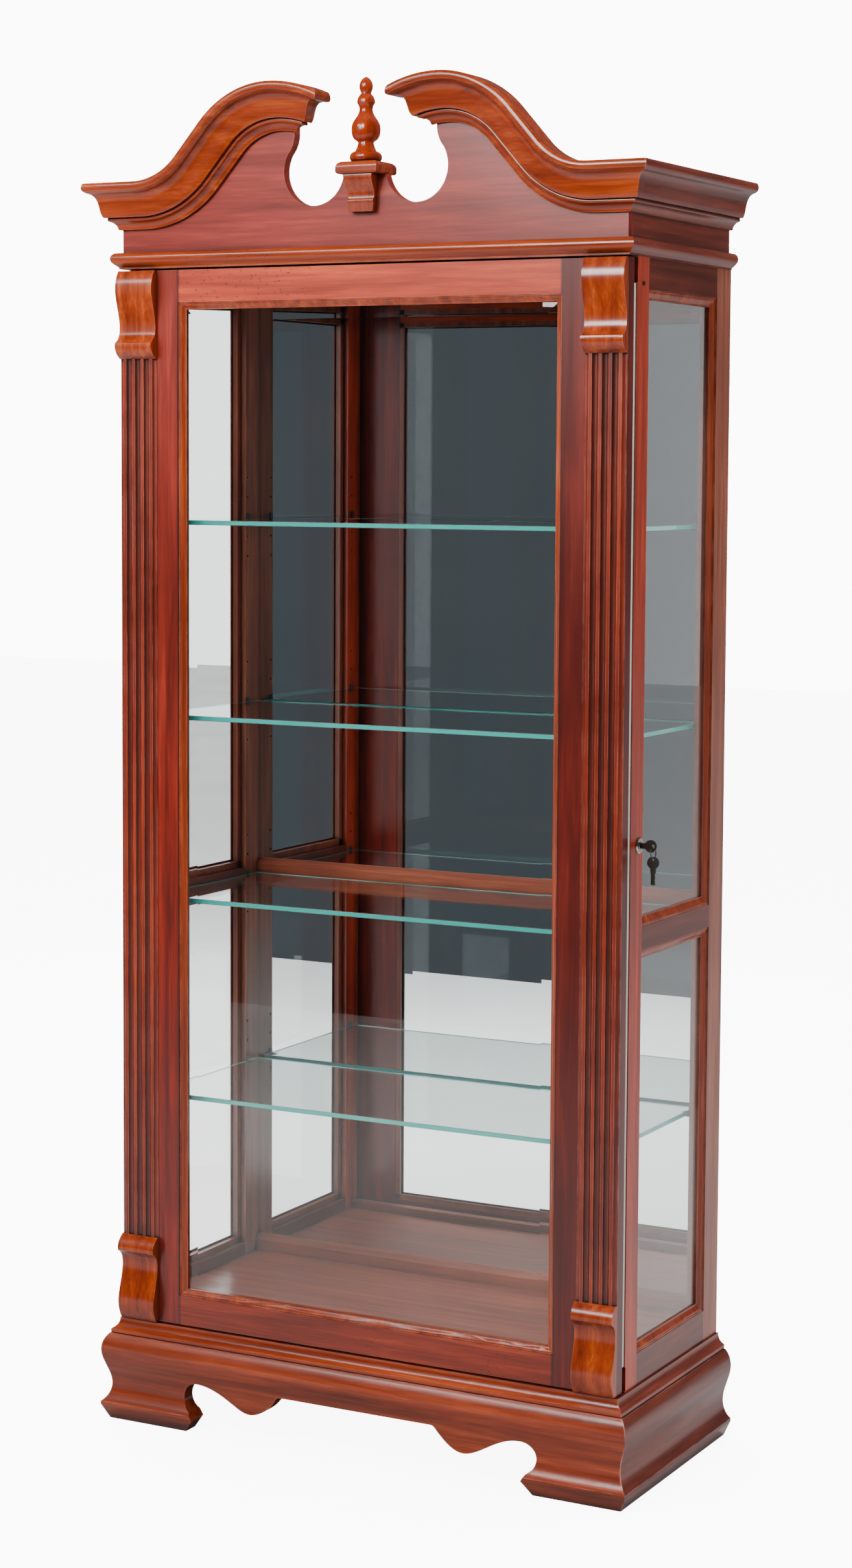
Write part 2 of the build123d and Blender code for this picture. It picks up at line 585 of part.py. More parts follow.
def build_lock():
    barrel = rod(INNER_X - 0.5, OUTER_X, LOCK_Y, LOCK_Z, BARREL_RADIUS)
    rose = rod(OUTER_X, OUTER_X + ROSE, LOCK_Y, LOCK_Z, ROSE_RADIUS)
    rose = chamfer(rose.edges().group_by(Axis.X)[-1], ROSE_CHAMFER)
    bore = rod(INNER_X - 10, OUTER_X + 10, LOCK_Y, LOCK_Z, PLUG_RADIUS + PLUG_CLEARANCE)
    save("lock_barrel", solid_of(barrel + rose - bore))

    plug = rod(PLUG_INNER, PLUG_OUTER, LOCK_Y, LOCK_Z, PLUG_RADIUS)
    beside, above = KEY_SLOT_SPARE
    thin, tall = KEY / 2 + beside, BLADE_HEIGHT / 2 + above
    slot = block(KEY_SLOT_INNER, PLUG_OUTER + OVER, -thin, thin, -tall, tall)
    plug -= Pos(0, LOCK_Y, LOCK_Z) * slot
    save("lock_plug", solid_of(plug))
    half = CAM_WIDTH / 2
    cam = block(PLUG_INNER - CAM, PLUG_INNER, LOCK_Y - half, LOCK_Y + half, LOCK_Z, LOCK_Z + CAM_LENGTH)
    cam = fillet(cam.edges().filter_by(Axis.X).group_by(Axis.Z)[-1], half - 0.1)
    cam += rod(PLUG_INNER - CAM, PLUG_INNER, LOCK_Y, LOCK_Z, half + 2)
    save("lock_cam", solid_of(cam))

    key = Pos(BOW_X, LOCK_Y, LOCK_Z) * key_blank(BOW_X - KEY_SLOT_INNER - OVER)
    key -= Pos(RING_X, LOCK_Y, LOCK_Z) * Rot(90, 0, 0) * Cylinder(KEY_HOLE_RADIUS, 4 * KEY)
    save("key", solid_of(key))
    ring = Pos(RING_X, LOCK_Y, LOCK_Z - RING_RADIUS) * Rot(0, 90, 0) * Torus(RING_RADIUS, RING_WIRE)
    save("key_ring", solid_of(ring))
    hang_z = LOCK_Z - 2 * RING_RADIUS
    spare = Pos(RING_X, LOCK_Y, hang_z - SPARE_DROP) * Rot(0, -90, 0) * key_blank(SPARE_REACH)
    spare -= Pos(RING_X, LOCK_Y, hang_z) * Rot(90, 0, 0) * Cylinder(SPARE_HOLE_RADIUS, 4 * KEY)
    save("spare_key", solid_of(spare))


def key_blank(reach):
    """A key with its bow at the origin and its blade along -X, cut on the lower edge."""
    bow = Rot(90, 0, 0) * Cylinder(BOW_RADIUS, KEY)
    length, half = KEY_COLLAR
    collar = block(-BOW_RADIUS - length, 0, -KEY / 2, KEY / 2, -half, half)
    blade = block(-reach, -BOW_RADIUS, -KEY / 2, KEY / 2, -BLADE_HEIGHT / 2, BLADE_HEIGHT / 2)
    blank = bow + collar + blade
    for number, depth in enumerate(KEY_CUTS):
        x = -reach + KEY_CUT_START + KEY_CUT_PITCH * number
        blank -= Pos(x, 0, -BLADE_HEIGHT / 2) * Rot(0, 45, 0) * Box(depth, 4 * KEY, depth)
    return blank


def build_cornice():
    half = FRIEZE_X + MOULDING_BACK
    front = FRIEZE_FRONT - MOULDING_BACK
    save("top_board", block(-half, half, front, CARCASS_DEPTH, POST_TOP, POST_TOP + BOARD))
    save("cornice_front_bead", mitred_front(profile_cornice(), FRIEZE_X, FRIEZE_FRONT))
    side = mitred_side(profile_cornice(), FRIEZE_X, FRIEZE_FRONT)
    save("cornice_side_beads", side, flipped(side))
    inner = FRIEZE_X - BOARD
    board_back = FRIEZE_FRONT + BOARD
    side = block(inner, FRIEZE_X, board_back, CARCASS_DEPTH, CORNICE_TOP, FRIEZE_TOP)
    save("frieze_sides", side, flipped(side))
    rear = CARCASS_DEPTH - BOARD
    low = POST_TOP + BOARD
    save("frieze_rear_rail", block(-inner, inner, rear, CARCASS_DEPTH, low, FRIEZE_RAIL_TOP))
    edges = Pos(0, CROWN_BOTTOM) * profile_crown()
    side = mitred_side(edges, FRIEZE_X, FRIEZE_FRONT)
    save("side_crowns", side, flipped(side))


def neck_edges(drop, turn=PEAK_TURN):
    """The swan neck's line at a given drop under its top edge, outer end first."""
    low_x, low_z = LOW_CENTRE
    high_x, high_z = HIGH_CENTRE
    low_radius = low_z - CROWN_BOTTOM - CROWN_HEIGHT + drop
    high_radius = HIGH_RADIUS - drop
    apart = hypot(low_x - high_x, low_z - high_z)
    lean = degrees(asin((low_radius + high_radius) / apart) - atan2(low_z - high_z, low_x - high_x))
    peak_z = high_z + HIGH_RADIUS - PEAK_RADIUS
    start = (FRIEZE_X + 2 * CROWN_REACH, low_z - low_radius)
    sweep_low = CenterArc(LOW_CENTRE, low_radius, -90, -lean)
    sweep_high = CenterArc(HIGH_CENTRE, high_radius, 90 - lean, lean)
    sweep_peak = CenterArc((high_x, peak_z), PEAK_RADIUS - drop, 90, turn)
    straight = Line(sweep_low @ 1, sweep_high @ 0)
    return [Line(start, sweep_low @ 0), sweep_low, straight, sweep_high, sweep_peak]


def build_necks():
    path = neck_edges(CROWN_HEIGHT)
    route = Plane(origin=(0, FRIEZE_FRONT, 0), x_dir=(1, 0, 0), z_dir=(0, -1, 0))
    end = path[-1] @ 1
    tail = Line(end, end + (path[-1] % 1) * RETURN_X)
    start = route.from_local_coords(path[0] @ 0)
    section = Plane(origin=start, x_dir=(0, -1, 0), z_dir=(-1, 0, 0)) * make_face(profile_crown())
    neck = solid_of(sweep(section, path=route * Wire(path + [tail])))
    neck -= beyond((MITRE_SUM, 0, 0), (1, 1, 0))

    # At the inner end the moulding turns back to the board round a mitre.
    corner = (RETURN_X, FRIEZE_FRONT, 0)
    inward = Vector(-1, RETURN_LEAN, 0)
    neck = solid_of(neck - beyond(corner, inward))
    mitre = [face for face in neck.faces() if face.normal_at().get_angle(inward) < 0.1]
    turned = extrude(mitre[0], amount=2 * CROWN_REACH, dir=(0, 1, 0))
    turned -= beyond((0, FRIEZE_FRONT, 0), (0, 1, 0))
    right = solid_of(neck + turned)
    save("swan_neck_right", right)
    save("swan_neck_left", flipped(right))


def build_pediment_board():
    """Board behind the necks, with a round bite each side of the middle tongue."""
    turn = degrees(asin((HIGH_CENTRE[0] - RETURN_X) / (PEAK_RADIUS - NECK_LIP)))
    top = neck_edges(NECK_LIP, turn)
    side_line = Line((FRIEZE_X, CORNICE_TOP), (FRIEZE_X, (top[0] @ 0).Y))
    bite_x, bite_z = BITE_CENTRE
    cusp = (bite_x + BITE_RADIUS * cos(radians(BITE_CUSP)), bite_z + BITE_RADIUS * sin(radians(BITE_CUSP)))
    tongue = bite_x - sqrt(BITE_RADIUS**2 - (bite_z - FRIEZE_TOP) ** 2)
    lowest = (bite_x, bite_z - BITE_RADIUS)
    diagonal = BITE_RADIUS * cos(radians(45))
    edges = (
        [side_line, Line(side_line @ 1, top[1] @ 0)]
        + top[1:]
        + [
            Line(top[-1] @ 1, (RETURN_X, BOARD_END_Z)),
            ThreePointArc((RETURN_X, BOARD_END_Z), BOARD_END_BEND, cusp),
            ThreePointArc(cusp, (bite_x + BITE_RADIUS, bite_z), lowest),
            ThreePointArc(lowest, (bite_x - diagonal, bite_z - diagonal), (tongue, FRIEZE_TOP)),
            Polyline((tongue, FRIEZE_TOP), (0, FRIEZE_TOP), (0, CORNICE_TOP), (FRIEZE_X, CORNICE_TOP)),
        ]
    )
    front = Plane(origin=(0, FRIEZE_FRONT, 0), x_dir=(1, 0, 0), z_dir=(0, -1, 0))
    half = solid_of(extrude(front * make_face(edges), amount=-BOARD))
    save("pediment_board", solid_of((half + flipped(half)).clean()))


def build_plinth_and_finial():
    bracket = extruded_x(profile_bracket(), -BRACKET_X, BRACKET_X, FRIEZE_FRONT)
    for sign in (-1, 1):
        bracket -= beyond((sign * BRACKET_X, 0, FRIEZE_TOP), (sign, 0, -BRACKET_TAPER))
    save("plinth_bracket", solid_of(bracket))

    cap = block(-CAP_HALF, CAP_HALF, CAP_FRONT, CAP_REAR, FRIEZE_TOP, CAP_TOP)
    upper, lower = CAP_ROUNDS
    cap = fillet(cap.edges().group_by(Axis.Z)[-1], upper)
    cap = fillet(cap.edges().group_by(Axis.Z)[0], lower)
    socket = Pos(0, FINIAL_Y, CAP_TOP) * Cylinder(SPIGOT_RADIUS, 2 * SPIGOT_LENGTH)
    save("plinth_cap", solid_of(cap - socket))

    turned = revolve(Plane.XZ * make_face(profile_finial()), axis=Axis.Z)
    save("finial", solid_of(turned.moved(Location((0, FINIAL_Y, CAP_TOP)))))


os.makedirs("parts", exist_ok=True)
build_base()
build_side_frames()
build_back_and_floor()
build_shelves()
build_door()
build_slides()
build_lock()
build_cornice()
build_necks()
build_pediment_board()
build_plinth_and_finial()
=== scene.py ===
import math

import bmesh
import bpy
from mathutils import Matrix, Vector

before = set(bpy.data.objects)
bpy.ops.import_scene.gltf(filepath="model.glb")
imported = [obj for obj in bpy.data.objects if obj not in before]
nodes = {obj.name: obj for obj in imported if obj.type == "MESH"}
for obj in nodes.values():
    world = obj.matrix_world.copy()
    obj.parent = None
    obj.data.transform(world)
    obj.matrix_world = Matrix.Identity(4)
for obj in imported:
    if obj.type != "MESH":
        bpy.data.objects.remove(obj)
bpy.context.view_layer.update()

# ---------------------------------------------------------------- materials


def choose(tree, factor, off, on):
    """One shader where the factor is 0 and another where it is 1."""
    made = tree.nodes.new("ShaderNodeMixShader")
    for index, socket in enumerate((factor, off, on)):
        tree.links.new(socket, made.inputs[index])
    return made.outputs[0]


class Mat:
    """A node material with short calls for the nodes it uses."""

    def __init__(self, name, **sockets):
        self.material = bpy.data.materials.new(name)
        self.material.use_nodes = True
        self.tree = self.material.node_tree
        self.bsdf = self.tree.nodes["Principled BSDF"]
        for socket, value in sockets.items():
            self.bsdf.inputs[socket.replace("_", " ")].default_value = value

    def node(self, kind, **settings):
        made = self.tree.nodes.new(kind)
        for key, value in settings.items():
            setattr(made, key, value)
        return made

    def link(self, source, target):
        self.tree.links.new(source, target)

    def place(self, scale):
        """Object coordinates, stretched by a scale in three directions."""
        mapping = self.node("ShaderNodeMapping")
        mapping.inputs["Scale"].default_value = scale
        self.link(self.node("ShaderNodeTexCoord").outputs["Object"], mapping.inputs["Vector"])
        return mapping.outputs["Vector"]

    def noise(self, vector, scale, detail=4.0, rough=0.55, distortion=0.0):
        made = self.node("ShaderNodeTexNoise")
        self.link(vector, made.inputs["Vector"])
        settings = {"Scale": scale, "Detail": detail, "Roughness": rough, "Distortion": distortion}
        for key, value in settings.items():
            made.inputs[key].default_value = value
        return made.outputs["Fac"]

    def ramp(self, factor, *stops):
        made = self.node("ShaderNodeValToRGB")
        ramp = made.color_ramp
        while len(ramp.elements) < len(stops):
            ramp.elements.new(0.5)
        for element, (place, colour) in zip(ramp.elements, stops):
            element.position = place
            rgb = colour if isinstance(colour, tuple) else (colour,) * 3
            element.color = (*rgb, 1)
        self.link(factor, made.inputs["Fac"])
        return made.outputs["Color"]

    def mix(self, factor, a, b):
        """Mixes two colours, each a socket or plain; the factor is a socket or a number."""
        made = self.node("ShaderNodeMix", data_type="RGBA")
        for index, value in ((0, factor), (6, a), (7, b)):
            if isinstance(value, bpy.types.NodeSocket):
                self.link(value, made.inputs[index])
            else:
                made.inputs[index].default_value = value if index == 0 else (*value, 1)
        return made.outputs[2]

    def maths(self, operation, a, b=0.0, clamp=True):
        made = self.node("ShaderNodeMath", operation=operation, use_clamp=clamp)
        for index, value in ((0, a), (1, b)):
            if isinstance(value, bpy.types.NodeSocket):
                self.link(value, made.inputs[index])
            else:
                made.inputs[index].default_value = value
        return made.outputs[0]

    def split(self, vector):
        """The X, Y and Z outputs of a vector."""
        made = self.node("ShaderNodeSeparateXYZ")
        self.link(vector, made.inputs[0])
        return made.outputs

    def hollows(self, reach, full=0.35, none=0.85):
        """1 in tight inner corners and hollows, 0 on open faces."""
        made = self.node("ShaderNodeAmbientOcclusion", samples=6)
        made.inputs["Distance"].default_value = reach
        return self.ramp(made.outputs["AO"], (full, 1.0), (none, 0.0))

    def edges(self, radius):
        """1 along sharp edges, from the bevelled normal against the true one."""
        bevel = self.node("ShaderNodeBevel", samples=4)
        bevel.inputs["Radius"].default_value = radius
        geometry = self.node("ShaderNodeNewGeometry")
        across = self.node("ShaderNodeVectorMath", operation="DOT_PRODUCT")
        self.link(bevel.outputs["Normal"], across.inputs[0])
        self.link(geometry.outputs["Normal"], across.inputs[1])
        away = self.maths("SUBTRACT", 1.0, across.outputs["Value"])
        return self.ramp(away, (0.02, 0.0), (0.12, 1.0))

    def surface(self, shader):
        self.link(shader, self.tree.nodes["Material Output"].inputs["Surface"])

    def bump(self, height, strength, distance):
        made = self.node("ShaderNodeBump")
        made.inputs["Strength"].default_value = strength
        made.inputs["Distance"].default_value = distance
        self.link(height, made.inputs["Height"])
        self.link(made.outputs["Normal"], self.bsdf.inputs["Normal"])

    def colour(self, socket):
        self.link(socket, self.bsdf.inputs["Base Color"])

    def rough(self, factor, lowest, highest, start=0.3, end=0.7):
        ramp = self.ramp(factor, (start, lowest), (end, highest))
        self.link(ramp, self.bsdf.inputs["Roughness"])


EVEN = (1, 1, 1)
GRAIN = {"x": (1.2, 26, 26), "y": (26, 1.2, 26), "z": (26, 26, 1.2)}
# The dark glaze colour; in the hollows it is also painted shade.
GLAZE_AND_SHADE = (0.018, 0.006, 0.005)
JOINT_X = 0.3525  # where the door's rails meet its stiles
EDGE_RUB = 0.0022  # radius of the rubbed edges, in metres
SPECK_SCALE = 150.0  # cells of the speck pattern to a metre


def lacquered(
    name, along, dark, middle, light,
    worn=0.3, glaze_and_shade=0.8, holes=0.0, shine=0.30, joint=False, hollow=(0.016,),
):
    """Lacquered cherry: long grain, cloudy stain, rubbed edges, and dark hollows that are partly a
    glazed finish and partly painted shade.

    The numbers worn, glaze and holes are how strong the rubbed edges, the dark hollows and the
    specks are;
    shine is the lowest roughness; hollow is what Mat.hollows is given.
    """
    m = Mat(name, Coat_Weight=0.4, Coat_Roughness=0.20, Specular_IOR_Level=0.3)
    stretched = m.place(GRAIN[along])
    plain = m.place(EVEN)
    grain = m.noise(stretched, 2.2, 6, 0.62, 0.35)
    fine = m.noise(stretched, 11.0, 3, 0.7)
    cloud = m.noise(plain, 3.4, 3, 0.5)
    base = m.ramp(grain, (0.28, dark), (0.52, middle), (0.74, light))
    base = m.mix(m.ramp(fine, (0.44, 0.32), (0.60, 0.0)), base, dark)
    base = m.mix(m.ramp(cloud, (0.35, 0.42), (0.62, 0.0)), base, dark)
    patchy = m.ramp(m.noise(plain, 24, 3), (0.38, 0.0), (0.62, worn))
    rub = m.maths("MULTIPLY", m.edges(EDGE_RUB), patchy)
    pale = tuple(min(1.0, 1.5 * c + 0.12) for c in light)
    base = m.mix(rub, base, pale)
    # The hollows get the glaze colour: partly a real glazed finish, partly painted shade.
    base = m.mix(m.maths("MULTIPLY", m.hollows(*hollow), glaze_and_shade), base, GLAZE_AND_SHADE)
    if joint:
        # A thin dark line of glaze where the rails meet the stiles.
        from_middle = m.maths("ABSOLUTE", m.split(plain)["X"])
        off_line = m.maths("ABSOLUTE", m.maths("SUBTRACT", from_middle, JOINT_X, clamp=False))
        base = m.mix(m.ramp(off_line, (0.0009, 0.9), (0.0026, 0.0)), base, GLAZE_AND_SHADE)
    if holes:
        # Small bored specks in loose clusters, as an antiqued finish has.
        cells = m.node("ShaderNodeTexVoronoi")
        cells.inputs["Scale"].default_value = SPECK_SCALE
        m.link(plain, cells.inputs["Vector"])
        specks = m.ramp(cells.outputs["Distance"], (0.13, 1.0), (0.21, 0.0))
        clusters = m.ramp(m.noise(plain, 7.0, 2), (0.57, 0.0), (0.62, holes))
        base = m.mix(m.maths("MULTIPLY", specks, clusters), base, GLAZE_AND_SHADE)
    m.colour(base)
    m.rough(cloud, shine, shine + 0.06)
    m.bump(grain, 0.05, 0.0002)
    return m.material


GLASS_IOR = 1.35  # below real glass, so that one lamp shows less in the door's bevel
GLASS_SHADOW = (0.93, 0.95, 0.94, 1)


def glass(name, tint, edge_tint, axis, edge_clear=0.35):
    """Clear glass with pale shadows and its body colour at the cut edges; axis is its thin way."""
    m = Mat(name, IOR=GLASS_IOR)
    smears = m.noise(m.place((3, 3, 1)), 2.5, 3)
    m.rough(smears, 0.0, 0.03, 0.68, 0.90)
    # The face's own direction says which faces are the thin cut edges.
    direction = m.node("ShaderNodeNewGeometry").outputs["True Normal"]
    flat = m.maths("ABSOLUTE", m.split(direction)[axis], clamp=False)
    m.colour(m.ramp(flat, (0.25, edge_tint), (0.80, tint)))
    m.link(m.ramp(flat, (0.25, edge_clear), (0.80, 1.0)), m.bsdf.inputs["Transmission Weight"])
    through = m.node("ShaderNodeBsdfTransparent")
    through.inputs["Color"].default_value = GLASS_SHADOW
    shadow = m.node("ShaderNodeLightPath").outputs["Is Shadow Ray"]
    m.surface(choose(m.tree, shadow, m.bsdf.outputs[0], through.outputs[0]))
    return m.material


# The darker colour given to the hollows of the metal parts.
HOLLOW_DARK = (0.03, 0.028, 0.025)


def metal(name, colour, rough):
    """Drawn metal: fine lines, blotches of tarnish and a darker colour in the hollows."""
    m = Mat(name, Metallic=1.0)
    lines = m.noise(m.place(GRAIN["x"]), 30, 3, 0.7)
    blot = m.noise(m.place(EVEN), 60, 3)
    tarnished = tuple(c * 0.55 for c in colour)
    base = m.mix(m.ramp(blot, (0.42, 0.0), (0.70, 0.35)), colour, tarnished)
    m.colour(m.mix(m.maths("MULTIPLY", m.hollows(0.004), 0.8), base, HOLLOW_DARK))
    m.rough(lines, rough - 0.05, rough + 0.08)
    m.bump(lines, 0.06, 0.0001)
    return m.material


# Each wood has a dark, a middle and a light colour.
# The next two are one stile wood: a darker copy with painted shade for the right stile and a
# brighter copy with painted light for the left one.
FRAME_PAINTED_SHADE = ((0.030, 0.0025, 0.0018), (0.095, 0.007, 0.003), (0.170, 0.014, 0.006))
FRAME_PAINTED_LIT = ((0.050, 0.0035, 0.0018), (0.175, 0.010, 0.003), (0.290, 0.020, 0.006))
RAIL_RED = ((0.060, 0.006, 0.0025), (0.200, 0.019, 0.005), (0.330, 0.042, 0.009))
TURNED = ((0.100, 0.008, 0.001), (0.300, 0.027, 0.002), (0.480, 0.064, 0.004))
ORANGE = ((0.085, 0.009, 0.002), (0.250, 0.030, 0.004), (0.410, 0.072, 0.008))
# A brighter copy of the rail colour, with painted light for the top rail, which is lit from above.
TOP_RAIL_PAINTED_LIT = ((0.140, 0.009, 0.001), (0.400, 0.030, 0.002), (0.560, 0.072, 0.004))
# A brighter copy of the frame colour, with painted light on the front posts.
POST_PAINTED_LIT = ((0.120, 0.010, 0.003), (0.360, 0.030, 0.008), (0.540, 0.062, 0.015))
SKIRT = ((0.060, 0.007, 0.002), (0.215, 0.027, 0.006), (0.345, 0.058, 0.013))
# A darker copy of the front moulding colour, with painted shade on the side faces.
CROWN_SIDE_PAINTED_SHADE = ((0.055, 0.0070, 0.0035), (0.170, 0.023, 0.009), (0.270, 0.044, 0.015))
# A brighter copy of the side colour, with painted light on the rear stiles.
REAR_PAINTED_LIT = ((0.100, 0.026, 0.015), (0.270, 0.072, 0.038), (0.400, 0.125, 0.068))
# A darker copy of the front colours, with painted shade on the side rails and side skirts.
SIDE_PAINTED_SHADE = ((0.040, 0.0055, 0.003), (0.115, 0.017, 0.007), (0.190, 0.034, 0.012))
PURPLE = ((0.080, 0.0055, 0.003), (0.225, 0.014, 0.006), (0.340, 0.028, 0.010))
INSIDE = ((0.090, 0.017, 0.009), (0.210, 0.042, 0.018), (0.310, 0.078, 0.032))
PLAIN = ((0.120, 0.066, 0.034), (0.190, 0.112, 0.062), (0.250, 0.158, 0.092))
BACK_PLY = ((0.105, 0.046, 0.020), (0.150, 0.072, 0.034), (0.195, 0.100, 0.050))

# What Mat.hollows is given where the glaze lies in flutes and along mouldings; it reaches far, so
# that it also paints the shade in them.
FLUTES = (0.030, 0.74, 0.98)
MOULDED = (0.020, 0.45, 0.92)
GLOSSY, INDOORS, BARE = 0.20, 0.34, 0.55  # lowest roughness of each finish

looks = {}


def dress(material, *names):
    """Gives CAD nodes a material in their own slots."""
    for name in names:
        data = nodes[name].data
        data.materials.clear()
        data.materials.append(material)
        looks[name] = material.name


# The left stile takes the copy with painted light, the right stile the copy with painted shade.
dress(lacquered("stile_cherry_left", "z", *FRAME_PAINTED_LIT, joint=True), "door_stile_left")
dress(lacquered("stile_cherry_right", "z", *FRAME_PAINTED_SHADE, joint=True), "door_stile_right")
dress(lacquered("post_cherry", "z", *POST_PAINTED_LIT), "front_post_left", "front_post_right")
dress(lacquered("rear_stile_cherry", "z", *REAR_PAINTED_LIT), "rear_stiles")
dress(lacquered("side_cherry_level", "y", *SIDE_PAINTED_SHADE), "side_frame_rails")
dress(lacquered("top_rail_cherry", "x", *TOP_RAIL_PAINTED_LIT, holes=0.9, joint=True), "door_top_rail")
dress(
    lacquered("bottom_rail_cherry", "x", *RAIL_RED, holes=0.9, joint=True),
    "door_bottom_rail",
)
dress(
    lacquered("flute_cherry", "z", *RAIL_RED, glaze_and_shade=1.0, worn=0.6, hollow=FLUTES),
    "door_pilasters",
)
dress(
    lacquered("carved_cherry", "z", *ORANGE, glaze_and_shade=0.95, shine=GLOSSY),
    "door_corbels", "plinth_bracket",
)
dress(lacquered("turned_cherry", "z", *TURNED, glaze_and_shade=0.9, shine=GLOSSY), "finial")
dress(lacquered("cap_cherry", "x", *ORANGE, shine=GLOSSY), "plinth_cap")
dress(
    lacquered(
        "crown_cherry", "x", *ORANGE, glaze_and_shade=0.95, holes=0.6, shine=GLOSSY, hollow=MOULDED
    ),
    "swan_neck_left", "swan_neck_right", "cornice_front_bead", "base_front_moulding",
)
dress(
    lacquered("crown_cherry_side", "y", *CROWN_SIDE_PAINTED_SHADE, glaze_and_shade=0.9, hollow=MOULDED),
    "side_crowns", "cornice_side_beads", "base_side_mouldings",
)
dress(lacquered("pediment_cherry", "x", *PURPLE, worn=0.2), "pediment_board")
dress(lacquered("frieze_cherry_side", "y", *CROWN_SIDE_PAINTED_SHADE), "frieze_sides")
dress(lacquered("skirt_cherry", "x", *SKIRT, worn=0.8), "base_front_skirt")
dress(lacquered("skirt_cherry_side", "y", *SIDE_PAINTED_SHADE, worn=0.8), "base_side_skirts")
dress(
    lacquered("bead_cherry", "z", *ORANGE, glaze_and_shade=0.9),
    "door_glazing_bead", "side_glazing_beads",
)
dress(
    lacquered("inside_cherry", "x", *INSIDE, shine=INDOORS),
    "cabinet_floor", "back_rails", "slide_carrier_rails",
)
dress(
    lacquered("retainer_cherry", "z", *INSIDE, worn=0.1, shine=INDOORS),
    "side_glass_retainers", "door_glass_retainer",
)
dress(
    lacquered("unfinished_wood", "x", *PLAIN, worn=0.0, glaze_and_shade=0.4, shine=BARE),
    "base_rear_rail", "base_corner_blocks", "base_deck", "top_board", "frieze_rear_rail",
)
dress(lacquered("back_ply", "z", *BACK_PLY, worn=0.0, glaze_and_shade=0.4, shine=0.50), "back_panel")

CLEAR, PANE_EDGE = (0.96, 0.985, 0.98), (0.35, 0.70, 0.62)
SHELF_CLEAR, SHELF_EDGE = (0.90, 0.975, 0.955), (0.03, 0.33, 0.30)
dress(glass("pane_glass", CLEAR, PANE_EDGE, "Y"), "door_glass")
dress(glass("side_pane_glass", CLEAR, PANE_EDGE, "X"), "side_glass_panes")
dress(
    glass("shelf_glass", SHELF_CLEAR, SHELF_EDGE, "Z", 0.25),
    "glass_shelf_1", "glass_shelf_2", "glass_shelf_3", "glass_shelf_4",
)

mirror = Mat("mirror_silver", Metallic=1.0)
smoke = mirror.noise(mirror.place(EVEN), 2.0, 2)
mirror.colour(mirror.ramp(smoke, (0.35, (0.70, 0.73, 0.75)), (0.70, (0.78, 0.80, 0.81))))
mirror.rough(smoke, 0.0, 0.02, 0.66, 0.90)
dress(mirror.material, "mirror_upper", "mirror_lower")

pin = Mat("black_pin")
pin_noise = pin.noise(pin.place(EVEN), 300, 3)
pin.colour(pin.ramp(pin_noise, (0.35, (0.006, 0.006, 0.006)), (0.70, (0.026, 0.025, 0.024))))
pin.rough(pin_noise, 0.32, 0.50)
pin.bump(pin_noise, 0.1, 0.0001)
dress(pin.material, "shelf_pins")

dress(
    metal("slide_zinc", (0.56, 0.56, 0.54), 0.34),
    "slide_cabinet_members", "slide_middle_members", "slide_door_members",
)
dress(metal("screw_black", (0.16, 0.14, 0.12), 0.30), "carrier_screws")
dress(metal("lock_nickel", (0.64, 0.60, 0.53), 0.22), "lock_barrel", "lock_plug", "lock_cam")
dress(metal("key_nickel", (0.10, 0.09, 0.08), 0.34), "key", "spare_key", "key_ring")

seal = Mat("dust_felt", Specular_IOR_Level=0.2)
felt = seal.noise(seal.place(EVEN), 500, 4, 0.7)
seal.colour(seal.ramp(felt, (0.30, (0.36, 0.33, 0.27)), (0.70, (0.58, 0.55, 0.48))))
seal.rough(felt, 0.8, 0.95)
seal.bump(felt, 0.4, 0.0005)
dress(seal.material, "dust_strips")

undressed = sorted(set(nodes) - set(looks))
if undressed:
    raise SystemExit(f"nodes without a material: {undressed}")

# ---------------------------------------------------------------- floor, light and camera

# The floor ends a little in front of the camera, where the mirrors show a dark room begin.
FLOOR_SIDE, FLOOR_FRONT, FLOOR_BACK = 14.0, -3.6, 16.0
FLOOR_CELLS = 24
FLOOR_GLOW = 8.6  # strength of the light it gives off to the camera only

floor_mesh = bpy.data.meshes.new("studio_floor")
build = bmesh.new()
bmesh.ops.create_grid(build, x_segments=FLOOR_CELLS, y_segments=FLOOR_CELLS, size=1.0)
for vertex in build.verts:
    vertex.co.x *= FLOOR_SIDE
    vertex.co.y = FLOOR_FRONT + (vertex.co.y + 1) / 2 * (FLOOR_BACK - FLOOR_FRONT)
build.to_mesh(floor_mesh)
build.free()
floor = bpy.data.objects.new("studio_floor", floor_mesh)
bpy.context.scene.collection.objects.link(floor)

pale = Mat("pale_floor", Specular_IOR_Level=0.15)
dapple = pale.noise(pale.place(EVEN), 1.5, 2)
pale.colour(pale.ramp(dapple, (0.3, (0.80, 0.79, 0.77)), (0.7, (0.84, 0.83, 0.81))))
pale.rough(dapple, 0.6, 0.75)
glow = pale.node("ShaderNodeEmission")
glow.inputs["Color"].default_value = (1, 1, 1, 1)
glow.inputs["Strength"].default_value = FLOOR_GLOW
lit = pale.node("ShaderNodeAddShader")
pale.link(pale.bsdf.outputs[0], lit.inputs[0])
pale.link(glow.outputs[0], lit.inputs[1])
# Glass shows the pale floor; polished wood and bounced light get a dimmer one.
dull = pale.node("ShaderNodeBsdfDiffuse")
dull.inputs["Color"].default_value = (0.32, 0.32, 0.32, 1)
rays = pale.node("ShaderNodeLightPath").outputs
unseen = choose(pale.tree, rays["Is Transmission Ray"], dull.outputs[0], pale.bsdf.outputs[0])
pale.surface(choose(pale.tree, rays["Is Camera Ray"], unseen, lit.outputs[0]))
floor_mesh.materials.append(pale.material)


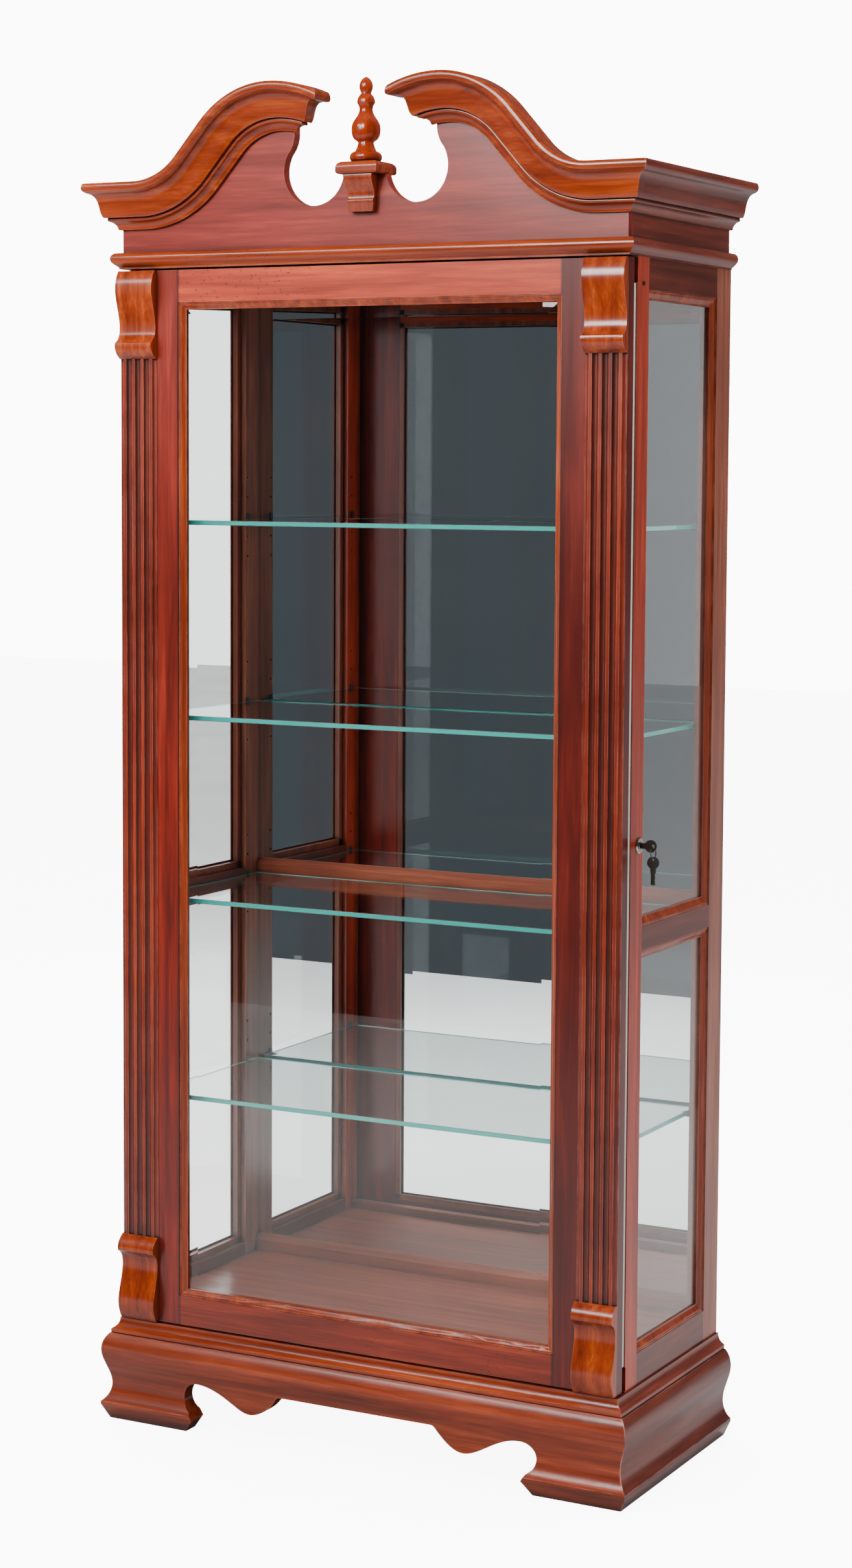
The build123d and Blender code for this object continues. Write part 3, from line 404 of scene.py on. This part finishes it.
def lamp(name, place, target, width, height, power, mirrored, colour):
    """A soft area lamp; mirrored says whether polished surfaces show it."""
    data = bpy.data.lights.new(name, "AREA")
    data.shape = "RECTANGLE"
    data.size, data.size_y, data.energy, data.color = width, height, power, colour
    made = bpy.data.objects.new(name, data)
    made.location = place
    made.rotation_euler = (Vector(target) - Vector(place)).to_track_quat("-Z", "Y").to_euler()
    made.visible_glossy = mirrored
    made.visible_transmission = False
    bpy.context.scene.collection.objects.link(made)


# name, place, target, width, height, power, mirrored, colour
WHITE = (1, 1, 1)
LAMPS = (
    ("key_softbox", (0.1, -3.3, 3.4), (0, 0, 1.5), 0.8, 1.3, 125, True, (1.0, 0.97, 0.93)),
    ("haze_softbox", (-1.02, -3.4, 3.05), (0.3, 0, 2.1), 0.5, 1.0, 62, True, WHITE),
    ("band_softbox", (-1.5, -2.9, 3.5), (0, 0, 1.9), 1.8, 0.5, 60, True, WHITE),
    ("side_softbox", (4.6, -1.6, 2.6), (0, 0, 1.2), 0.7, 2.4, 80, False, (0.97, 0.98, 1.0)),
    ("fill_softbox", (-2.0, -2.4, 2.4), (0, 0, 1.3), 1.6, 1.8, 85, False, WHITE),
    ("top_softbox", (0.0, 0.6, 5.2), (0, 0, 0.8), 4.0, 4.0, 300, False, WHITE),
    ("rear_softbox", (-2.6, 4.0, 3.0), (0, 0, 1.2), 2.4, 2.4, 120, False, WHITE),
)
for row in LAMPS:
    lamp(*row)

# Round the object it is pale behind and a dark grey-blue room in front, which the mirrors show.
SEEN, AROUND, POLISHED = 11.0, 2.6, 0.07  # strengths to the camera, to the object and in polish
ROOM = ((0.42, (0.034, 0.038, 0.042, 1)), (0.58, (0.97, 0.98, 1.0, 1)))

world = bpy.data.worlds.new("studio")
bpy.context.scene.world = world
world.use_nodes = True
tree = world.node_tree
tree.nodes.clear()


def background(strength):
    made = tree.nodes.new("ShaderNodeBackground")
    made.inputs["Strength"].default_value = strength
    return made


seen, around, dim = background(SEEN), background(AROUND), background(POLISHED)
seen.inputs["Color"].default_value = (1, 1, 1, 1)
where = tree.nodes.new("ShaderNodeTexCoord")
split = tree.nodes.new("ShaderNodeSeparateXYZ")
half_up = tree.nodes.new("ShaderNodeMapRange")
half_up.inputs["From Min"].default_value = -1.0
shade = tree.nodes.new("ShaderNodeValToRGB")
for element, (spot, colour) in zip(shade.color_ramp.elements, ROOM):
    element.position, element.color = spot, colour
tree.links.new(where.outputs["Generated"], split.inputs[0])
tree.links.new(split.outputs["Y"], half_up.inputs["Value"])
tree.links.new(half_up.outputs[0], shade.inputs[0])
tree.links.new(shade.outputs[0], around.inputs["Color"])
tree.links.new(shade.outputs[0], dim.inputs["Color"])

# Polished surfaces show a dimmer room than the one that lights the object; what shows through
# glass is not dimmed.
world_rays = tree.nodes.new("ShaderNodeLightPath").outputs
reflected = tree.nodes.new("ShaderNodeMath")
reflected.operation = "SUBTRACT"
reflected.use_clamp = True
tree.links.new(world_rays["Is Glossy Ray"], reflected.inputs[0])
tree.links.new(world_rays["Is Transmission Ray"], reflected.inputs[1])
room = choose(tree, reflected.outputs[0], around.outputs[0], dim.outputs[0])
sky = choose(tree, world_rays["Is Camera Ray"], room, seen.outputs[0])
output = tree.nodes.new("ShaderNodeOutputWorld")
tree.links.new(sky, output.inputs["Surface"])

CAMERA_PLACE = (2.3456, -4.35795, 1.647)
CAMERA_TURN, CAMERA_TILT, CAMERA_ROLL = 0.484, -0.085, -0.006  # radians
CAMERA_LENS, CAMERA_SENSOR = 68.03, 36.0
CAMERA_SHIFT = (-0.0110, -0.0439)

camera_data = bpy.data.cameras.new("camera")
camera_data.lens = CAMERA_LENS
camera_data.sensor_width = CAMERA_SENSOR
camera_data.sensor_fit = "AUTO"
camera_data.shift_x, camera_data.shift_y = CAMERA_SHIFT
camera_data.clip_end = 100.0
camera = bpy.data.objects.new("camera", camera_data)
bpy.context.scene.collection.objects.link(camera)
camera.matrix_world = (
    Matrix.Translation(CAMERA_PLACE)
    @ Matrix.Rotation(CAMERA_TURN, 4, "Z")
    @ Matrix.Rotation(CAMERA_TILT, 4, "X")
    @ Matrix.Rotation(CAMERA_ROLL, 4, "Y")
    @ Matrix.Rotation(math.radians(90), 4, "X")
)
bpy.context.scene.camera = camera
